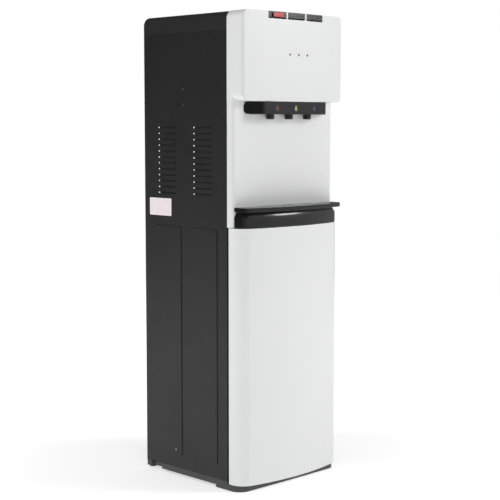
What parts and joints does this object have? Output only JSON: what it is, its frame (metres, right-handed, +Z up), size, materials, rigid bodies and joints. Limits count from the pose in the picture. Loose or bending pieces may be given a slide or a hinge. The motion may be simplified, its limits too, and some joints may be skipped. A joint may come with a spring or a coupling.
{
  "type": "water dispenser",
  "caption": "Floor-standing water dispenser: bottle compartment with hinged door below, tap recess with nozzles, drip tray and press keys above.",
  "frame": {"origin": "on the floor, under the middle of the bounding box", "axes": "+Z up, the front with the taps and the door faces -Y, +X on the right of someone who faces the front"},
  "size_m": [0.3128, 0.345, 1.0184],
  "materials": {
    "white_gloss": "gloss",
    "black_gloss": "high gloss",
    "black_cover": "fine texture",
    "black_steel": "satin powder coat",
    "base_grey": "fine texture",
    "key_black": "satin",
    "lock_red": "gloss",
    "drop_red": "gloss",
    "drop_yellow": "gloss",
    "drop_blue": "gloss",
    "lamp_clear": "gloss",
    "label_paper": "satin film",
    "zinc_steel": "zinc plated",
    "stainless": "brushed",
    "sink_aluminium": "extruded",
    "liner_white": "satin",
    "rubber_black": "matte",
    "silicone": "translucent",
    "foam_white": "beaded foam",
    "board_green": "solder mask",
    "switch_red": "gloss",
    "switch_green": "gloss"
  },
  "bodies": {
    "cabinet": {"base_plinth": "base_grey", "feet": "rubber_black", "side_panel_left": "black_steel", "side_panel_right": "black_steel", "rear_panel": "black_steel", "top_cover": "black_cover", "head_shell": "white_gloss", "column_panel": "white_gloss", "nozzle_bar": "black_gloss", "nozzles": "key_black", "drop_hot": "drop_red", "drop_room": "drop_yellow", "drop_cold": "drop_blue", "key_hinge_rod": "stainless", "head_chassis": "liner_white", "tap_valves": "liner_white", "dispense_tubes": "silicone", "lamp_lenses": "lamp_clear", "indicator_board": "board_green", "tray_housing": "black_gloss", "divider_shelf": "zinc_steel", "bottle_guide": "liner_white", "pump": "key_black", "water_hoses": "silicone", "probe_collar": "liner_white", "probe_tube": "stainless", "cold_tank": "stainless", "cold_insulation": "foam_white", "hot_tank": "stainless", "heater_band": "zinc_steel", "thermostats": "key_black", "cooling_module": "sink_aluminium", "heat_sink": "sink_aluminium", "fan_frame": "key_black", "control_board": "board_green", "power_inlet": "key_black", "hinge_brackets": "zinc_steel", "door_switch": "key_black", "rating_label": "label_paper", "panel_screws": "zinc_steel", "drain_outlet": "liner_white", "switch_plate": "key_black"},
    "door": {"door_shell": "white_gloss", "door_liner": "liner_white", "door_gasket": "rubber_black", "door_pull": "key_black"},
    "tray": {"drip_tray": "black_gloss"},
    "grate": {"drip_grate": "black_gloss"},
    "hot_key": {"key_hot": "key_black"},
    "room_key": {"key_room": "key_black"},
    "cold_key": {"key_cold": "key_black"},
    "lock": {"child_lock": "lock_red"},
    "hot_plunger": {"plunger_hot": "liner_white"},
    "room_plunger": {"plunger_room": "liner_white"},
    "cold_plunger": {"plunger_cold": "liner_white"},
    "fan": {"fan_rotor": "key_black"},
    "hot_rocker": {"hot_switch": "switch_red"},
    "cold_rocker": {"cold_switch": "switch_green"},
    "drain_plug": {"drain_cap": "rubber_black"}
  },
  "joints": [
    {"name": "door_hinge", "type": "hinge", "parent": "cabinet", "child": "door", "pos_m": [-0.148, -0.1125, 0.29], "axis": [0, 0, -1], "range_deg": [0, 105]},
    {"name": "tray_lift", "type": "slide", "parent": "cabinet", "child": "tray", "axis": [0, 0, 1], "range_m": [0, 0.04]},
    {"name": "grate_lift", "type": "slide", "parent": "tray", "child": "grate", "axis": [0, 0, 1], "range_m": [0, 0.03]},
    {"name": "hot_key_press", "type": "hinge", "parent": "cabinet", "child": "hot_key", "pos_m": [-0.0575, -0.1085, 1.008], "axis": [1, 0, 0], "range_deg": [0, 3], "stiffness_Nm_per_rad": 2, "springref_deg": -1.72},
    {"name": "hot_valve_open", "type": "slide", "parent": "cabinet", "child": "hot_plunger", "axis": [0, 0, -1], "range_m": [0, 0.0014]},
    {"name": "room_key_press", "type": "hinge", "parent": "cabinet", "child": "room_key", "pos_m": [0, -0.1085, 1.008], "axis": [1, 0, 0], "range_deg": [0, 3], "stiffness_Nm_per_rad": 2, "springref_deg": -1.72},
    {"name": "room_valve_open", "type": "slide", "parent": "cabinet", "child": "room_plunger", "axis": [0, 0, -1], "range_m": [0, 0.0014]},
    {"name": "cold_key_press", "type": "hinge", "parent": "cabinet", "child": "cold_key", "pos_m": [0.0575, -0.1085, 1.008], "axis": [1, 0, 0], "range_deg": [0, 3], "stiffness_Nm_per_rad": 2, "springref_deg": -1.72},
    {"name": "cold_valve_open", "type": "slide", "parent": "cabinet", "child": "cold_plunger", "axis": [0, 0, -1], "range_m": [0, 0.0014]},
    {"name": "lock_slide", "type": "slide", "parent": "hot_key", "child": "lock", "axis": [1, 0, 0], "range_m": [0, 0.005]},
    {"name": "fan_spin", "type": "hinge", "parent": "cabinet", "child": "fan", "pos_m": [0.062, 0.1425, 0.866], "axis": [0, 1, 0], "continuous": true},
    {"name": "hot_switch_tilt", "type": "hinge", "parent": "cabinet", "child": "hot_rocker", "pos_m": [-0.092, 0.1605, 0.918], "axis": [1, 0, 0], "range_deg": [0, 8]},
    {"name": "cold_switch_tilt", "type": "hinge", "parent": "cabinet", "child": "cold_rocker", "pos_m": [-0.092, 0.1605, 0.892], "axis": [1, 0, 0], "range_deg": [0, 8]},
    {"name": "drain_cap_pull", "type": "slide", "parent": "cabinet", "child": "drain_plug", "axis": [0, 1, 0], "range_m": [0, 0.03]}
  ],
  "couplings": [
    {"joint": "hot_valve_open", "follows": "hot_key_press", "m_per_rad": 0.0245},
    {"joint": "room_valve_open", "follows": "room_key_press", "m_per_rad": 0.0245},
    {"joint": "cold_valve_open", "follows": "cold_key_press", "m_per_rad": 0.0245}
  ]
}
